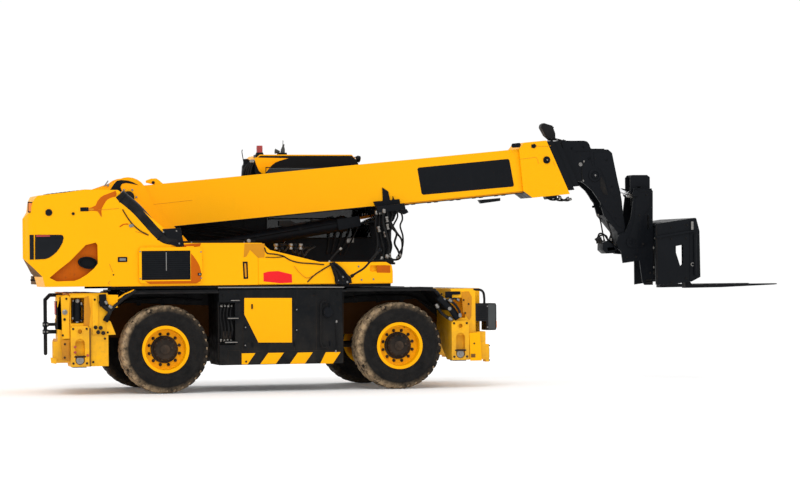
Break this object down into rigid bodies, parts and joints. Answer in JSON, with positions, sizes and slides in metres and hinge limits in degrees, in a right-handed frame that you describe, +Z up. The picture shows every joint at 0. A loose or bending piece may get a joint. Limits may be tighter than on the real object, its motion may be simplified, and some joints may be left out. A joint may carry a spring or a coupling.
{
  "type": "rotating telehandler",
  "caption": "Yellow and black rotating telehandler with a telescopic boom, fork carriage, offset cab, engine pod, steered wheels and sliding stabilisers.",
  "frame": {"origin": "on the ground, at the middle of the overall length and width, wheels down and boom at the angle of the picture; the slew axis is at x = -1.865 m", "axes": "+X towards the forks, +Y to the machine's left, +Z up"},
  "size_m": [10.5, 2.485, 3.5838],
  "materials": {
    "yellow_paint": "gloss",
    "black_paint": "satin",
    "tyre_rubber": "matte",
    "cast_black": "matte",
    "black_plastic": "matte",
    "chrome_rod": "polished",
    "tinted_glass": "gloss",
    "seat_fabric": "matte",
    "beacon_lens": "gloss"
  },
  "bodies": {
    "chassis": {"chassis_frame": "yellow_paint", "slew_ring": "cast_black", "side_box_right": "black_paint", "side_box_left": "black_paint", "stabiliser_frame_rear": "yellow_paint", "stabiliser_frame_front": "yellow_paint", "mudguards": "black_plastic", "front_lights": "black_plastic", "rear_grab_rail": "black_paint", "tow_hitch": "black_paint", "axle_front": "cast_black", "axle_rear": "cast_black", "drive_shafts": "cast_black"},
    "turret": {"turret_frame": "yellow_paint", "engine_pod": "yellow_paint", "engine_block": "cast_black", "front_side_cover": "yellow_paint", "counterweight": "yellow_paint", "hydraulic_tank": "black_paint", "cab_shell": "black_paint", "cab_glass": "tinted_glass", "operator_seat": "seat_fabric", "cab_console": "black_plastic", "beacon": "beacon_lens"},
    "cab_door": {"cab_door": "black_paint", "door_glass": "tinted_glass"},
    "engine_door": {"engine_door": "yellow_paint"},
    "boom": {"boom_base": "yellow_paint"},
    "boom_stage_2": {"boom_section_2": "black_paint"},
    "boom_stage_3": {"boom_section_3": "black_paint"},
    "boom_stage_4": {"boom_head": "black_paint", "work_light": "black_plastic"},
    "carriage": {"quick_hitch": "black_paint", "fork_carriage": "black_paint", "forks": "black_paint"},
    "lift_barrel": {"lift_cylinder_barrel": "black_paint"},
    "lift_rod": {"lift_cylinder_rod": "chrome_rod"},
    "tilt_barrel": {"tilt_cylinder_barrel": "black_paint"},
    "tilt_rod": {"tilt_cylinder_rod": "chrome_rod"},
    "steer_fl": {"knuckle_fl": "cast_black"},
    "wheel_fl": {"tyre_fl": "tyre_rubber", "rim_fl": "yellow_paint"},
    "stabiliser_fl": {"stabiliser_leg_fl": "yellow_paint"},
    "steer_fr": {"knuckle_fr": "cast_black"},
    "wheel_fr": {"tyre_fr": "tyre_rubber", "rim_fr": "yellow_paint"},
    "stabiliser_fr": {"stabiliser_leg_fr": "yellow_paint"},
    "steer_rl": {"knuckle_rl": "cast_black"},
    "wheel_rl": {"tyre_rl": "tyre_rubber", "rim_rl": "yellow_paint"},
    "stabiliser_rl": {"stabiliser_leg_rl": "yellow_paint"},
    "steer_rr": {"knuckle_rr": "cast_black"},
    "wheel_rr": {"tyre_rr": "tyre_rubber", "rim_rr": "yellow_paint"},
    "stabiliser_rr": {"stabiliser_leg_rr": "yellow_paint"}
  },
  "joints": [
    {"name": "turret_slew", "type": "hinge", "parent": "chassis", "child": "turret", "pos_m": [-1.865, 0, 1.375], "axis": [0, 0, 1], "continuous": true},
    {"name": "boom_lift", "type": "hinge", "parent": "turret", "child": "boom", "pos_m": [-3.765, 0, 2.58], "axis": [0, -1, 0], "range_deg": [-7.5, 70]},
    {"name": "boom_extend", "type": "slide", "parent": "boom", "child": "boom_stage_2", "axis": [0.9957, 0, 0.0924], "range_m": [0, 4.95]},
    {"name": "boom_extend_3", "type": "slide", "parent": "boom_stage_2", "child": "boom_stage_3", "axis": [0.9957, 0, 0.0924], "range_m": [0, 4.95]},
    {"name": "boom_extend_4", "type": "slide", "parent": "boom_stage_3", "child": "boom_stage_4", "axis": [0.9957, 0, 0.0924], "range_m": [0, 4.95]},
    {"name": "fork_tilt", "type": "hinge", "parent": "boom_stage_4", "child": "carriage", "pos_m": [3.255, 0, 1.92], "axis": [0, 1, 0], "range_deg": [-10, 75]},
    {"name": "lift_cylinder_swing", "type": "hinge", "parent": "turret", "child": "lift_barrel", "pos_m": [-3.265, 0, 1.8], "axis": [0, -1, 0], "range_deg": [-7.48, 67.28]},
    {"name": "lift_cylinder_stroke", "type": "slide", "parent": "lift_barrel", "child": "lift_rod", "axis": [0.9866, 0, 0.1633], "range_m": [-0.1151, 1.0493]},
    {"name": "tilt_cylinder_swing", "type": "hinge", "parent": "boom_stage_4", "child": "tilt_barrel", "pos_m": [2.035, 0, 3.01], "axis": [0, 1, 0], "range_deg": [-1.64, 10.38]},
    {"name": "tilt_cylinder_stroke", "type": "slide", "parent": "tilt_barrel", "child": "tilt_rod", "axis": [0.9537, 0, -0.3008], "range_m": [-0.1067, 0.78074]},
    {"name": "front_steer", "type": "hinge", "parent": "chassis", "child": "steer_fl", "pos_m": [-0.3, 0.8, 0.575], "axis": [0, 0, 1], "range_deg": [-30, 30]},
    {"name": "front_steer_right", "type": "hinge", "parent": "chassis", "child": "steer_fr", "pos_m": [-0.3, -0.8, 0.575], "axis": [0, 0, 1], "range_deg": [-30, 30]},
    {"name": "rear_steer", "type": "hinge", "parent": "chassis", "child": "steer_rl", "pos_m": [-3.43, 0.8, 0.575], "axis": [0, 0, 1], "range_deg": [-30, 30]},
    {"name": "rear_steer_right", "type": "hinge", "parent": "chassis", "child": "steer_rr", "pos_m": [-3.43, -0.8, 0.575], "axis": [0, 0, 1], "range_deg": [-30, 30]},
    {"name": "wheel_fl_roll", "type": "hinge", "parent": "steer_fl", "child": "wheel_fl", "pos_m": [-0.3, 1.02, 0.575], "axis": [0, 1, 0], "continuous": true},
    {"name": "wheel_fr_roll", "type": "hinge", "parent": "steer_fr", "child": "wheel_fr", "pos_m": [-0.3, -1.02, 0.575], "axis": [0, 1, 0], "continuous": true},
    {"name": "wheel_rl_roll", "type": "hinge", "parent": "steer_rl", "child": "wheel_rl", "pos_m": [-3.43, 1.02, 0.575], "axis": [0, 1, 0], "continuous": true},
    {"name": "wheel_rr_roll", "type": "hinge", "parent": "steer_rr", "child": "wheel_rr", "pos_m": [-3.43, -1.02, 0.575], "axis": [0, 1, 0], "continuous": true},
    {"name": "stabiliser_fl_out", "type": "slide", "parent": "chassis", "child": "stabiliser_fl", "axis": [0, 0.9232, -0.3843], "range_m": [0, 0.95]},
    {"name": "stabiliser_fr_out", "type": "slide", "parent": "chassis", "child": "stabiliser_fr", "axis": [0, -0.9232, -0.3843], "range_m": [0, 0.95]},
    {"name": "stabiliser_rl_out", "type": "slide", "parent": "chassis", "child": "stabiliser_rl", "axis": [0, 0.9232, -0.3843], "range_m": [0, 0.95]},
    {"name": "stabiliser_rr_out", "type": "slide", "parent": "chassis", "child": "stabiliser_rr", "axis": [0, -0.9232, -0.3843], "range_m": [0, 0.95]},
    {"name": "cab_door_swing", "type": "hinge", "parent": "turret", "child": "cab_door", "pos_m": [-1.665, 1.228, 2.255], "axis": [0, 0, 1], "range_deg": [0, 85]},
    {"name": "engine_door_swing", "type": "hinge", "parent": "turret", "child": "engine_door", "pos_m": [-3.355, -1.212, 1.908], "axis": [-1, 0, 0], "range_deg": [0, 80]}
  ],
  "couplings": [
    {"joint": "boom_extend_3", "follows": "boom_extend", "ratio": 1},
    {"joint": "boom_extend_4", "follows": "boom_extend", "ratio": 1},
    {"joint": "lift_cylinder_swing", "follows": "boom_lift", "ratio": 0.95689},
    {"joint": "lift_cylinder_stroke", "follows": "boom_lift", "m_per_rad": 0.85641},
    {"joint": "tilt_cylinder_swing", "follows": "fork_tilt", "ratio": 0.13438},
    {"joint": "tilt_cylinder_stroke", "follows": "fork_tilt", "m_per_rad": 0.59415},
    {"joint": "front_steer_right", "follows": "front_steer", "ratio": 1},
    {"joint": "rear_steer_right", "follows": "rear_steer", "ratio": 1}
  ]
}
